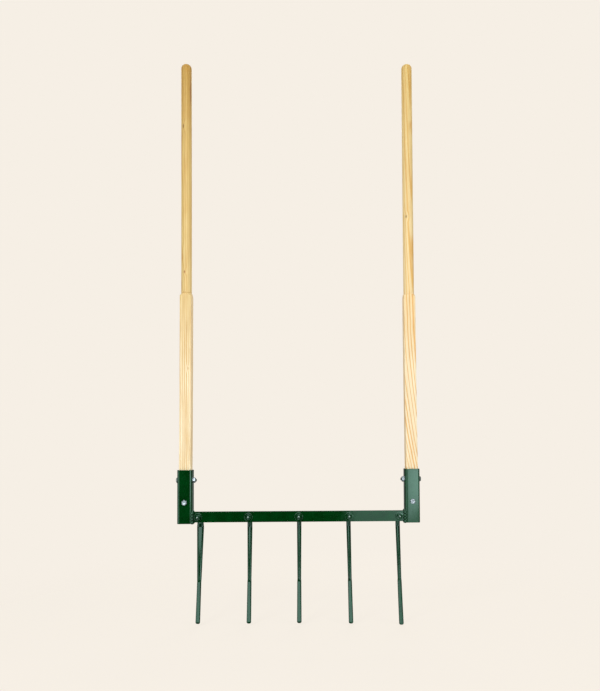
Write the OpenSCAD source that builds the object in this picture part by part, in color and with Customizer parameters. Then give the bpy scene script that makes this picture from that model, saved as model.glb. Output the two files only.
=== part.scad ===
// Broadfork: two wooden handles bolted into a welded steel head with five bent, nut-held tines.
// The origin is the middle of the crossbar's top face, where the foot goes.
// +Z runs up the handles, +X to the right hand, and -Y is the front, where the tine nuts show.

/* [Handles] */
// Whole length of one handle, from its foot in the socket to the rounded top
handle_length = 1270; // [900:5:1500]
// Length of the upper part that is turned round for the hands
grip_length = 647; // [300:1:800]
// Side of the square stock
handle_w = 31.75; // [24:0.05:34]
// Diameter of the turned grip
grip_d = 29; // [22:0.5:31]
// Rounding of the grip's top end
grip_end_r = 9; // [2:0.5:10]
// Height of the turned cone between the square stock and the grip
shoulder_h = 9; // [4:0.5:20]
// Rounding of the square stock's long edges
handle_arris_r = 1.5; // [0.5:0.1:3]

/* [Sockets] */
// Distance between the middles of the two sockets
socket_spacing = 618; // [580:1:700]
// Outer side of the square tube
socket_w = 40; // [34:0.1:46]
// Outer corner radius of the square tube
socket_corner_r = 6; // [4:0.5:8]
// Length of a socket
socket_length = 145.5; // [120:0.5:200]
// How far a socket reaches below the crossbar
socket_drop = 3.5; // [2:0.1:12]
// Gap all round between the handle and the inside of the tube
handle_gap = 0.2; // [0.1:0.05:0.6]
// How far the handle's foot stays inside the socket's lower end
handle_inset = 3.5; // [1:0.5:10]

/* [Crossbar] */
// Height of the flat bar
bar_h = 28; // [24:0.1:32]
// Thickness of the flat bar, front to back
bar_t = 9.5; // [8:0.1:13]
// Rounding of the rolled bar's long edges
bar_arris_r = 0.8; // [0.4:0.1:2]
// How far the bar's front face lies behind the sockets' front faces
bar_setback = 6.5; // [5:0.5:10]
// Radius of the weld bead round each end of the bar
weld_r = 3; // [2:0.1:4]
// How far the bead's middle line stands off the bar and the socket
weld_rise = 0.6; // [0.3:0.1:1]
// Spacing of the ripples along the weld bead
weld_pitch = 4.3; // [3:0.1:5]
// How far the bar's top and bottom are ground back at each end, under the bead
weld_prep_l = 4; // [3.8:0.1:6]
// Depth of that ground ramp at the socket
weld_prep_depth = 1.2; // [0.6:0.1:1.4]

/* [Tines] */
// Number of tines
tine_count = 5; // [3:1:7]
// How far the tips reach below the crossbar
tine_reach = 272; // [220:1:340]
// Diameter of the rod where it leaves the bar
shank_d = 12.4; // [10:0.1:14]
// Diameter of the rod just above the knee
knee_d = 10.3; // [8:0.1:12]
// How far the knee, where the rod is forged flat, lies below the crossbar
knee_drop = 158; // [120:1:180]
// Length over which the rod turns from round to flat
knee_length = 9; // [5:0.5:20]
// Width of the flat blade just below the knee
blade_root_w = 11.2; // [8:0.1:14]
// Thickness of the flat blade just below the knee
blade_root_t = 8; // [6:0.1:11]
// Width of the blade at its tip
blade_tip_w = 12.3; // [10:0.1:16]
// Thickness of the blade at its tip
blade_tip_t = 5; // [4.6:0.1:7]
// Rounding of the blade's long edges
blade_edge_r = 2.2; // [0.8:0.1:2.2]
// Rounding of the tip's corners, seen from the front
tip_r = 4.4; // [1.5:0.1:4.5]
// Straight run of the rod behind the bar, before the bend
bend_run = 9; // [4:0.5:20]
// Radius of the bend, at the middle of the rod
bend_r = 28; // [18:0.5:45]
// Forward lean of the rod below the bend, in degrees
shank_lean = 8; // [5:0.5:8.5]
// Forward lean of the rod just above the knee, in degrees
knee_lean = 9; // [9:0.5:10.5]
// Forward lean of the blade just below the knee, in degrees
blade_lean = 11.5; // [10:0.5:13]
// Forward lean of the blade at its tip, in degrees
tip_lean = 14.5; // [13.5:0.5:22]

/* [Tine fixings] */
// Diameter of the threaded end that passes through the bar
tang_d = 9.5; // [8:0.1:11]
// Width across the flats of a tine nut
tine_nut_af = 14.3; // [13:0.1:19]
// Height of a tine nut
tine_nut_h = 8.2; // [6:0.1:10]
// Outer diameter of a tine washer
washer_d = 23; // [18:0.5:24]
// Thickness of a tine washer
washer_t = 2; // [1:0.1:3]
// Gap between an outer washer and the weld bead beside it
washer_gap = 0.4; // [0.2:0.1:5]
// How far the threaded end stands out of its nut
stud_proud = 2.4; // [0.5:0.1:5]

/* [Handle bolts] */
// Diameter of the bolts through the sockets
bolt_d = 8; // [6:0.5:10]
// Length of a bolt under its head
bolt_length = 50; // [48:1:60]
// Width across the flats of the bolt heads and nuts
bolt_af = 13; // [10:0.5:17]
// Height of a bolt head
bolt_head_h = 5.3; // [4:0.1:8]
// Height of a bolt nut
bolt_nut_h = 6.8; // [5:0.1:8]
// Diameter of the shallow dish in a bolt head
head_dish_d = 7; // [4:0.5:9]
// Depth of the shallow dish in a bolt head
head_dish_depth = 0.8; // [0.3:0.1:1.5]
// Height of the left-right bolt above the crossbar's top
side_bolt_z = 86; // [60:1:95]
// Height of the front-to-back bolt above the crossbar's top
front_bolt_z = 26; // [20:1:45]
// How much wider than its bolt or stud a hole is
hole_gap = 0.4; // [0.2:0.1:1]

/* [Hidden] */
$fn = 64;
// Overrun of every cut past the face that it opens
overrun = 1;
// Where a hex piece's chamfer meets its end face, against its width across the flats
hex_face_share = 0.95;
// Angle of a hex piece's chamfer
hex_chamfer = 30;
// Steps of the tine's outline: round the bend, down the shank, down the blade and round the tip
bend_steps = 9;
shank_steps = 6;
blade_steps = 6;
tip_steps = 3;
// Points on each of the four corners of a tine's section, kept off the corner arc's ends
corner_steps = 4;
corner_end_angle = 9;

socket_x = socket_spacing / 2;
socket_y = socket_w / 2 - bar_setback - bar_t / 2;
socket_bottom = -bar_h - socket_drop;
socket_bore_w = handle_w + 2 * handle_gap;
socket_bore_r = handle_arris_r + handle_gap;
bar_length = socket_spacing - socket_w;
tine_end = weld_rise + weld_r + washer_gap + washer_d / 2;
tine_pitch = (bar_length - 2 * tine_end) / (tine_count - 1);
handle_bottom = socket_bottom + handle_inset;
turned_r = handle_w / sqrt(2);
tang_z = -bar_h / 2;
tine_front = -bar_t / 2;
nut_front = tine_front - washer_t;

// Path of a tine in its own Y-Z plane: the bend, an arc down to the knee, and an arc down the blade.
// An arc is [y, z, lean] at its start, and its radius.
bend_y = bar_t / 2 + bend_run;
bend_turn = 90 + shank_lean;
sweep_y = bend_y + bend_r * cos(shank_lean);
sweep_z = tang_z - bend_r - bend_r * sin(shank_lean);
knee_z = -bar_h - knee_drop;
shank_sweep_r = (sweep_z - knee_z) / (sin(knee_lean) - sin(shank_lean));
SHANK_ARC = [sweep_y, sweep_z, shank_lean, shank_sweep_r];
knee_y = sweep_y - shank_sweep_r * (cos(shank_lean) - cos(knee_lean));
blade_sweep_r = (tine_reach - knee_drop) / (sin(tip_lean) - sin(blade_lean));
BLADE_ARC = [knee_y, knee_z, blade_lean, blade_sweep_r];
// Lean that one unit of length along the blade adds
lean_rate = 180 / (PI * blade_sweep_r);
flat_lean = blade_lean + knee_length * lean_rate;
blunt_lean = tip_lean - tip_r * lean_rate;

SIDES = [["left", -1], ["right", 1]];
SIDE_PARTS = ["handle", "socket", "weld", "side_bolt", "side_nut", "front_bolt", "front_nut"];
TINE_PARTS = ["tine", "tine_washer", "tine_nut"];

wood = "burlywood";
green = "#0f4a26";
zinc = "silver";

function mix(a, b, t) = a + (b - a) * t;
function tine_x(i) = (i - (tine_count + 1) / 2) * tine_pitch;

// A station of the tine: [y, z, heading, half width, half depth, corner radius].
// The heading is 0 along +Y and 90 straight down.
function bend_station(turn, r) =
    [bend_y + bend_r * sin(turn), tang_z - bend_r + bend_r * cos(turn), turn, r, r, r];
function arc_station(arc, lean, half_w, half_t, edge_r) =
    [arc[0] - arc[3] * (cos(arc[2]) - cos(lean)),
     arc[1] - arc[3] * (sin(lean) - sin(arc[2])),
     90 + lean, half_w, half_t, edge_r];
function shank_station(t) =
    let (r = mix(shank_d, knee_d, t) / 2)
    arc_station(SHANK_ARC, mix(shank_lean, knee_lean, t), r, r, r);
function blade_station(t) =
    arc_station(BLADE_ARC, mix(flat_lean, blunt_lean, t), mix(blade_root_w, blade_tip_w, t) / 2,
                mix(blade_root_t, blade_tip_t, t) / 2, blade_edge_r);
function tip_station(angle) =
    let (close_share = 1 - cos(angle),
         half_w = blade_tip_w / 2 - tip_r * close_share,
         half_t = mix(blade_tip_t, blade_edge_r, close_share) / 2,
         edge_r = mix(blade_edge_r, blade_edge_r / 2, close_share))
    arc_station(BLADE_ARC, blunt_lean + tip_r * sin(angle) * lean_rate,
                half_w, half_t, min(edge_r, half_w, half_t));

TINE_STATIONS = concat(
    [[bar_t / 2, tang_z, 0, shank_d / 2, shank_d / 2, shank_d / 2]],
    [for (k = [0 : bend_steps]) bend_station(bend_turn * k / bend_steps, shank_d / 2)],
    [for (k = [1 : shank_steps]) shank_station(k / shank_steps)],
    [for (k = [0 : blade_steps]) blade_station(k / blade_steps)],
    [for (k = [1 : tip_steps]) tip_station(90 * k / tip_steps)]
);

// One ring of points round a station, on a rounded rectangle square to the rod
function section_ring(s) = [
    for (quarter = [0 : 3], k = [0 : corner_steps - 1])
    let (angle = 90 * quarter + mix(corner_end_angle, 90 - corner_end_angle, k / (corner_steps - 1)),
         across = (quarter == 0 || quarter == 3 ? 1 : -1) * (s[3] - s[5]) + s[5] * cos(angle),
         deep = (quarter < 2 ? 1 : -1) * (s[4] - s[5]) + s[5] * sin(angle))
    [across, s[0] + deep * sin(s[2]), s[1] + deep * cos(s[2])]
];

// A closed skin over a stack of rings of equal length
module skin(rings) {
    n = len(rings[0]);
    last = (len(rings) - 1) * n;
    sides = [for (r = [0 : len(rings) - 2], k = [0 : n - 1])
        let (a = r * n + k, b = r * n + (k + 1) % n)
        each [[a, b, b + n], [a, b + n, a + n]]];
    start_cap = [for (k = [1 : n - 2]) [0, k + 1, k]];
    end_cap = [for (k = [1 : n - 2]) [last, last + k, last + k + 1]];
    polyhedron([for (ring = rings) each ring], concat(sides, start_cap, end_cap));
}

module rounded_rect(w, h, r) {
    square([w, h - 2 * r], center = true);
    square([w - 2 * r, h], center = true);
    for (x = [-1, 1], y = [-1, 1])
        translate([x * (w / 2 - r), y * (h / 2 - r)]) circle(r);
}

// Turns a shape that points up its Z axis to point along +Y, or to the left along -X
module facing_back() { rotate([-90, 0, 0]) children(); }
module facing_left() { rotate([0, -90, 0]) children(); }

// Places a right-hand piece on its socket, and mirrors it for the left hand
module on_side(side) {
    mirror([side < 0 ? 1 : 0, 0, 0]) translate([socket_x, socket_y, 0]) children();
}

// Both bolt holes of a handle, cut through anything up to a tube's width
module bolt_holes() {
    through = socket_w + 2 * overrun;
    translate([0, 0, side_bolt_z]) facing_left()
        cylinder(d = bolt_d + hole_gap, h = through, center = true);
    translate([0, 0, front_bolt_z]) facing_back()
        cylinder(d = bolt_d + hole_gap, h = through, center = true);
}

// A cone that takes the corners off a hex piece's upper end
module hex_chamfer_cutter(af, h) {
    face_r = af * hex_face_share / 2;
    edge_drop = (af - face_r) * tan(hex_chamfer);
    rotate_extrude()
        polygon([[0, -overrun], [af, -overrun], [af, h - edge_drop], [face_r, h], [0, h]]);
}

module hex_block(af, h) {
    intersection() {
        cylinder(d = af / cos(30), h = h, $fn = 6);
        hex_chamfer_cutter(af, h);
    }
}

module hex_nut(af, h, bore_d) {
    difference() {
        hex_block(af, h);
        translate([0, 0, -overrun]) cylinder(d = bore_d, h = h + 2 * overrun);
    }
}

// A hex bolt whose head stands below Z = 0 and whose shank points up
module hex_bolt() {
    difference() {
        mirror([0, 0, 1]) hex_block(bolt_af, bolt_head_h);
        translate([0, 0, -bolt_head_h - overrun])
            cylinder(d = head_dish_d, h = head_dish_depth + overrun);
    }
    cylinder(d = bolt_d, h = bolt_length);
}

// The square stock, turned down to a round grip above a cone-shaped shoulder
module handle(side) {
    shoulder_z = handle_length - grip_length;
    grip_r = grip_d / 2;
    color(wood) on_side(side) difference() {
        translate([0, 0, handle_bottom]) intersection() {
            linear_extrude(handle_length) rounded_rect(handle_w, handle_w, handle_arris_r);
            union() {
                translate([0, 0, -overrun]) cylinder(r = turned_r, h = shoulder_z - shoulder_h + overrun);
                translate([0, 0, shoulder_z - shoulder_h])
                    cylinder(r1 = turned_r, r2 = grip_r, h = shoulder_h);
                translate([0, 0, shoulder_z]) rotate_extrude() {
                    square([grip_r, grip_length - grip_end_r]);
                    square([grip_r - grip_end_r, grip_length]);
                    translate([grip_r - grip_end_r, grip_length - grip_end_r])
                        intersection() {
                            circle(grip_end_r);
                            square(grip_end_r);
                        }
                }
            }
        }
        bolt_holes();
    }
}

module socket_outside() {
    translate([0, 0, socket_bottom])
        linear_extrude(socket_length) rounded_rect(socket_w, socket_w, socket_corner_r);
}

module socket(side) {
    color(green) on_side(side) difference() {
        socket_outside();
        translate([0, 0, socket_bottom - overrun])
            linear_extrude(socket_length + 2 * overrun)
                rounded_rect(socket_bore_w, socket_bore_w, socket_bore_r);
        bolt_holes();
    }
}

// The flat bar, with a ramp ground into its top and bottom at each end for the weld to fill
module bar_outside() {
    slope_share = weld_prep_depth / weld_prep_l;
    end_x = bar_length / 2;
    difference() {
        translate([-end_x, 0, tang_z]) rotate([90, 0, 90])
            linear_extrude(bar_length) rounded_rect(bar_t, bar_h, bar_arris_r);
        for (x = [0, 1], z = [0, 1])
            mirror([x, 0, 0]) translate([0, 0, tang_z]) mirror([0, 0, z]) rotate([90, 0, 0])
                linear_extrude(bar_t + 2 * overrun, center = true)
                    polygon([[end_x - weld_prep_l, bar_h / 2],
                             [end_x + overrun, bar_h / 2 - weld_prep_depth - overrun * slope_share],
                             [end_x + overrun, bar_h / 2 + overrun],
                             [end_x - weld_prep_l, bar_h / 2 + overrun]]);
    }
}

module crossbar() {
    color(green) difference() {
        bar_outside();
        for (i = [1 : tine_count])
            translate([tine_x(i), -bar_t / 2 - overrun, tang_z]) facing_back()
                cylinder(d = tang_d + hole_gap, h = bar_t + 2 * overrun);
    }
}

// A rippled bead round the end of the crossbar, on the socket's inner face
module weld(side) {
    loop_h = bar_h + 2 * weld_rise;
    loop_t = bar_t + 2 * weld_rise;
    up_steps = ceil(loop_h / weld_pitch);
    through_steps = ceil(loop_t / weld_pitch);
    color(green) difference() {
        on_side(side) translate([-socket_w / 2 - weld_rise, -socket_y, tang_z]) {
            for (face = [-1, 1], k = [0 : up_steps])
                translate([0, face * loop_t / 2, loop_h * (k / up_steps - 1 / 2)]) sphere(weld_r);
            for (face = [-1, 1], k = [1 : through_steps - 1])
                translate([0, loop_t * (k / through_steps - 1 / 2), face * loop_h / 2]) sphere(weld_r);
        }
        on_side(side) socket_outside();
        bar_outside();
    }
}

module side_bolt(side) {
    color(zinc) on_side(side)
        translate([socket_w / 2, 0, side_bolt_z]) facing_left() hex_bolt();
}

module side_nut(side) {
    color(zinc) on_side(side)
        translate([-socket_w / 2, 0, side_bolt_z]) facing_left()
            hex_nut(bolt_af, bolt_nut_h, bolt_d + hole_gap);
}

module front_bolt(side) {
    color(zinc) on_side(side)
        translate([0, -socket_w / 2, front_bolt_z]) facing_back() hex_bolt();
}

module front_nut(side) {
    color(zinc) on_side(side)
        translate([0, socket_w / 2, front_bolt_z]) facing_back()
            hex_nut(bolt_af, bolt_nut_h, bolt_d + hole_gap);
}

// A rod bent down behind the bar and forged into a flat blade, with a threaded end through the bar
module tine(i) {
    stud_end = nut_front - tine_nut_h - stud_proud;
    color(green) translate([tine_x(i), 0, 0]) {
        skin([for (station = TINE_STATIONS) section_ring(station)]);
        translate([0, stud_end, tang_z]) facing_back()
            cylinder(d = tang_d, h = bar_t / 2 + overrun - stud_end);
    }
}

module tine_washer(i) {
    color(green) translate([tine_x(i), nut_front, tang_z]) facing_back() difference() {
        cylinder(d = washer_d, h = washer_t);
        translate([0, 0, -overrun]) cylinder(d = tang_d + hole_gap, h = washer_t + 2 * overrun);
    }
}

module tine_nut(i) {
    color(green) translate([tine_x(i), nut_front, tang_z]) rotate([90, 0, 0])
        hex_nut(tine_nut_af, tine_nut_h, tang_d + hole_gap);
}

crossbar();
for (side = SIDES) {
    handle(side[1]);
    socket(side[1]);
    weld(side[1]);
    side_bolt(side[1]);
    side_nut(side[1]);
    front_bolt(side[1]);
    front_nut(side[1]);
}
for (i = [1 : tine_count]) {
    tine(i);
    tine_washer(i);
    tine_nut(i);
}
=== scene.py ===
"""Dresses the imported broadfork: turned ash handles, an enamelled steel head and zinc-plated bolts.

The frame is the CAD part's own: metres, +Z up the handles, +X to the right hand and -Y to the front.
"""

from __future__ import annotations

import logging
import math
from dataclasses import dataclass
from enum import Enum
from functools import partial
from typing import Any, Callable, Sequence

import bmesh
import bpy
import numpy as np
from bpy.types import Material, Mesh, Node, NodeSocket, NodeTree, Object
from mathutils import Matrix, Vector

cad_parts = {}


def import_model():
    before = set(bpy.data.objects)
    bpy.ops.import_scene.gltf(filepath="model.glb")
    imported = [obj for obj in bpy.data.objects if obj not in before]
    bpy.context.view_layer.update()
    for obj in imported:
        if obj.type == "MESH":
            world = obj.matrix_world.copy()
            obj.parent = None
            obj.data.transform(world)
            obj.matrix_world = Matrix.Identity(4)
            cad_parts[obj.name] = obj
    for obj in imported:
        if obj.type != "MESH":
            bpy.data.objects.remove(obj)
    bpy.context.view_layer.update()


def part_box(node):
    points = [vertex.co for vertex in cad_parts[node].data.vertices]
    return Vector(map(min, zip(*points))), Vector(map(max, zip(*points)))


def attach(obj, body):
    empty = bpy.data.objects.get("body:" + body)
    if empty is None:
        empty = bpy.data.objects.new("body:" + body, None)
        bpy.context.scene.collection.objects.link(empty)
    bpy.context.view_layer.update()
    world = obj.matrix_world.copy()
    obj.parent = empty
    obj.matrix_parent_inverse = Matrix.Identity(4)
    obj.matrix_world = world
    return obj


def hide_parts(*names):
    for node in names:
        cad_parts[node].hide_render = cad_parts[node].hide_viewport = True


LOG = logging.getLogger("broadfork")
MM = 0.001
FULL = 2 * math.pi
QUARTER = math.pi / 2
BODY = "root"
BLEND = {"data_type": "RGBA"}
TINT = {"data_type": "RGBA", "blend_type": "MULTIPLY"}
SMOOTH = {"interpolation_type": "SMOOTHSTEP"}

Put = Callable[..., Node]
Seat = tuple[Vector, Vector]


class Side(Enum):
    """One half of the fork, as its user sees it from the front."""

    LEFT = -1
    RIGHT = 1

    def node(self, part: str) -> str:
        """Returns the CAD name of this side's part."""
        return f"{self.name.lower()}_{part}"


class Ends(Enum):
    """How a skin over a stack of rings is closed."""

    CAPPED = "capped"
    JOINED = "joined"


def linear(colour: str) -> tuple[float, float, float, float]:
    """Turns an sRGB hex colour into linear RGBA.

    Args:
        colour: The colour as "#rrggbb".

    Returns:
        Linear red, green and blue, with full alpha.
    """
    parts = [int(colour[i : i + 2], 16) / 255 for i in (1, 3, 5)]
    red, green, blue = (c / 12.92 if c <= 0.04045 else ((c + 0.055) / 1.055) ** 2.4 for c in parts)
    return red, green, blue, 1.0


def plug(node: Node, inputs: dict[Any, Any]) -> None:
    """Links or sets a node's inputs.

    Args:
        node: The node.
        inputs: Socket index or name to a value, or to what feeds it: a socket, or a node by its first live output.
    """
    for key, value in inputs.items():
        if isinstance(value, Node):
            value = next(socket for socket in value.outputs if socket.enabled)
        if isinstance(value, NodeSocket):
            node.id_data.links.new(value, node.inputs[key])
        else:
            node.inputs[key].default_value = value


def add(tree: NodeTree, kind: str, *feeds: Any, **settings: Any) -> Node:
    """Adds a node with its settings, and links or sets its inputs.

    Args:
        tree: The shader or geometry tree that takes the node.
        kind: The node's type name, less its leading ShaderNode, with its operation after a colon if it has one.
        feeds: What its inputs take, in order or in a dict as for plug.
        settings: The node's own properties, and a ramp's stops as places and hex colours in rising order.

    Returns:
        The new node.
    """
    kind, _, operation = kind.partition(":")
    whole = kind.startswith(("GeometryNode", "FunctionNode", "NodeGroup"))
    node = tree.nodes.new(kind if whole else f"ShaderNode{kind}")
    if operation:
        node.operation = operation
    stops = settings.pop("stops", ())
    for key, value in settings.items():
        setattr(node, key, value)
    if stops:
        elements = node.color_ramp.elements
        for _ in stops[2:]:
            elements.new(0.5)
        for element, (place, colour) in zip(elements, stops):
            element.position = place
            element.color = linear(colour)
    for number, feed in enumerate(feeds):
        plug(node, feed if isinstance(feed, dict) else {number: feed})
    return node


def new_material(name: str) -> tuple[Material, Put, Node]:
    """Makes a node material.

    Args:
        name: The finish's name.

    Returns:
        The material, the function that adds a node to it, and its Principled shader.
    """
    material = bpy.data.materials.new(name)
    material.use_nodes = True
    return material, partial(add, material.node_tree), material.node_tree.nodes["Principled BSDF"]


def grain_scale(across: float, along: float) -> tuple[float, float, float]:
    """Returns the scale that gives a pattern this size in millimetres across and along the Z axis."""
    return 1 / (across * MM), 1 / (across * MM), 1 / (along * MM)


def place_object(name: str, mesh: Mesh) -> Object:
    """Links a mesh into the scene as an object at the origin."""
    piece = bpy.data.objects.new(name, mesh)
    bpy.context.scene.collection.objects.link(piece)
    return piece


def from_bmesh(name: str, work: bmesh.types.BMesh) -> Object:
    """Makes an object of a bmesh and frees it."""
    mesh = bpy.data.meshes.new(name)
    work.to_mesh(mesh)
    work.free()
    return place_object(name, mesh)


def skin(name: str, rings: Sequence[np.ndarray], ends: Ends = Ends.CAPPED) -> Object:
    """Lays quads over a stack of rings.

    Args:
        name: The piece's name.
        rings: Points in metres, as many in each ring.
        ends: Whether the end rings are capped or joined to each other.

    Returns:
        The closed piece, with its faces outwards.
    """
    count, width = len(rings), len(rings[0])
    index = np.arange(count * width).reshape(count, width)
    faces: list[tuple[int, ...]] = []
    for i in range(count if ends is Ends.JOINED else count - 1):
        low, high = index[i], index[(i + 1) % count]
        faces += [(low[k], low[(k + 1) % width], high[(k + 1) % width], high[k]) for k in range(width)]
    if ends is Ends.CAPPED:
        faces += [tuple(index[0][::-1]), tuple(index[-1])]
    mesh = bpy.data.meshes.new(name)
    mesh.from_pydata(np.concatenate(rings).tolist(), [], faces)
    piece = place_object(name, mesh)
    tidy_faces(piece)
    return piece


def tidy_faces(piece: Object) -> None:
    """Merges doubled points and turns every face outwards."""
    work = bmesh.new()
    work.from_mesh(piece.data)
    bmesh.ops.remove_doubles(work, verts=work.verts, dist=1e-7)
    bmesh.ops.recalc_face_normals(work, faces=work.faces)
    work.to_mesh(piece.data)
    work.free()


def bake_modifiers(piece: Object) -> None:
    """Turns a piece's evaluated shape into its plain mesh and drops its modifiers."""
    bpy.context.view_layer.update()
    graph = bpy.context.evaluated_depsgraph_get()
    mesh = bpy.data.meshes.new_from_object(piece.evaluated_get(graph), depsgraph=graph)
    mesh.name = piece.name
    piece.modifiers.clear()
    piece.data = mesh


def soften(piece: Object, sharp_angle: float) -> Object:
    """Shades a piece smooth, with broad faces kept flat and edges over an angle in degrees left crisp.

    Args:
        piece: The piece to shade.
        sharp_angle: The least angle between two faces that stays crisp.

    Returns:
        The same piece.
    """
    piece.data.shade_smooth()
    piece.data.set_sharp_from_angle(angle=math.radians(sharp_angle))
    level = piece.modifiers.new("level", "WEIGHTED_NORMAL")
    level.keep_sharp = True
    bake_modifiers(piece)
    return piece


def level_ring(turns: np.ndarray, radius: Any, x: float = 0.0, y: float = 0.0, z: Any = 0.0) -> np.ndarray:
    """Returns points round an upright axis, with one radius and height for all or one for each turn."""
    return np.column_stack([x + radius * np.cos(turns), y + radius * np.sin(turns), np.broadcast_to(z, turns.shape)])


def even_turns(count: int) -> np.ndarray:
    """Returns turns spread evenly round a full circle."""
    return FULL * np.arange(count) / count


def drill(piece: Object, holes: Sequence[tuple[Vector, Vector]], radius: float, around: int = 48) -> None:
    """Cuts round holes through a piece.

    Args:
        piece: The piece to drill.
        holes: Middle of each hole, and its run from there to either end.
        radius: The holes' radius.
        around: Steps round each hole.
    """
    for number, (middle, run) in enumerate(holes):
        aim = np.array((2 * run).to_track_quat("Z", "Y").to_matrix())
        ring = level_ring(np.linspace(0, FULL, around, endpoint=False), radius) @ aim.T
        cutter = skin(f"drill_{number}", [ring + np.array(middle - run), ring + np.array(middle + run)])
        cut = piece.modifiers.new("drill", "BOOLEAN")
        cut.operation, cut.solver, cut.object = "DIFFERENCE", "EXACT", cutter
        bake_modifiers(piece)
        bpy.data.objects.remove(cutter)


def dress(piece: Object, material: Material) -> None:
    """Gives a piece its only material."""
    piece.data.materials.clear()
    piece.data.materials.append(material)


def hand_over(piece: Object, nodes: Sequence[str]) -> None:
    """Puts a finished piece on the fork's body in place of its CAD nodes.

    Args:
        piece: The finished piece.
        nodes: The CAD nodes that it stands for.
    """
    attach(piece, BODY)
    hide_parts(*nodes)
    LOG.info("%s: %d faces, for %s", piece.name, len(piece.data.polygons), ", ".join(nodes))


def new_geometry_tree(name: str, sockets: dict[str, str]) -> tuple[NodeTree, Put, Any]:
    """Starts a Geometry Nodes tree with named inputs.

    Args:
        name: The tree's name.
        sockets: Input name to socket type, less its leading NodeSocket.

    Returns:
        The tree, the function that adds a node to it, and its inputs' sockets.
    """
    tree = bpy.data.node_groups.new(name, "GeometryNodeTree")
    for label, kind in sockets.items():
        tree.interface.new_socket(label, in_out="INPUT", socket_type=f"NodeSocket{kind}")
    tree.interface.new_socket("Geometry", in_out="OUTPUT", socket_type="NodeSocketGeometry")
    return tree, partial(add, tree), add(tree, "NodeGroupInput").outputs


def close_tree(put: Put, shape: Node, finish: NodeSocket) -> None:
    """Ends a tree in realised geometry that wears one material."""
    real = put("GeometryNodeRealizeInstances", {"Geometry": shape})
    put("NodeGroupOutput", {0: put("GeometryNodeSetMaterial", {"Geometry": real, "Material": finish})})


def grow(piece: Object, tree: NodeTree, values: dict[str, Any]) -> None:
    """Runs a Geometry Nodes tree on a piece and keeps the result as its mesh.

    Args:
        piece: The object that carries the tree.
        tree: The tree to run.
        values: Input name to value.
    """
    modifier = piece.modifiers.new("grow", "NODES")
    modifier.node_group = tree
    for item in tree.interface.items_tree:
        if item.item_type == "SOCKET" and item.in_out == "INPUT" and item.name in values:
            modifier[item.identifier] = values[item.name]
    bake_modifiers(piece)


def rounded_outline(width: float, depth: float, radius: float, corner: int, edge: int) -> np.ndarray:
    """Returns the outline of a rounded rectangle.

    Args:
        width: Its size along the first axis.
        depth: Its size along the second axis.
        radius: Its corner radius.
        corner: Steps round each corner.
        edge: Steps along each side.

    Returns:
        Points counter-clockwise, as rows of two.
    """
    inner = np.array([width / 2 - radius, depth / 2 - radius])
    middles = [inner * sign for sign in ((1, 1), (-1, 1), (-1, -1), (1, -1))]
    steps = np.linspace(0, 1, edge + 1)[1:-1, None]
    points = []
    for quarter, middle in enumerate(middles):
        turn = QUARTER * (quarter + np.linspace(0, 1, corner + 1))
        arc = middle + radius * np.stack([np.cos(turn), np.sin(turn)], 1)
        target = middles[(quarter + 1) % 4] + arc[-1] - middle
        points += [arc, arc[-1] + (target - arc[-1]) * steps]
    return np.concatenate(points)


def thread_radius(turns: np.ndarray, along: float, radius: float, pitch: float, depth: float) -> np.ndarray:
    """Returns the radius of a V thread at each turn, at a place along it."""
    phase = (along / pitch - turns / FULL) % 1.0
    return radius - depth * np.abs(2 * phase - 1)


@dataclass(frozen=True)
class Mark:
    """A knot or a stain in a handle, or a line of painted shade, by its place on the handle and its size, in
    millimetres.

    across and front are measured from the handle's middle line, and height from the crossbar's top.
    """

    across: float
    front: float
    height: float
    width: float
    length: float
    colour: str
    strength: float


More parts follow.
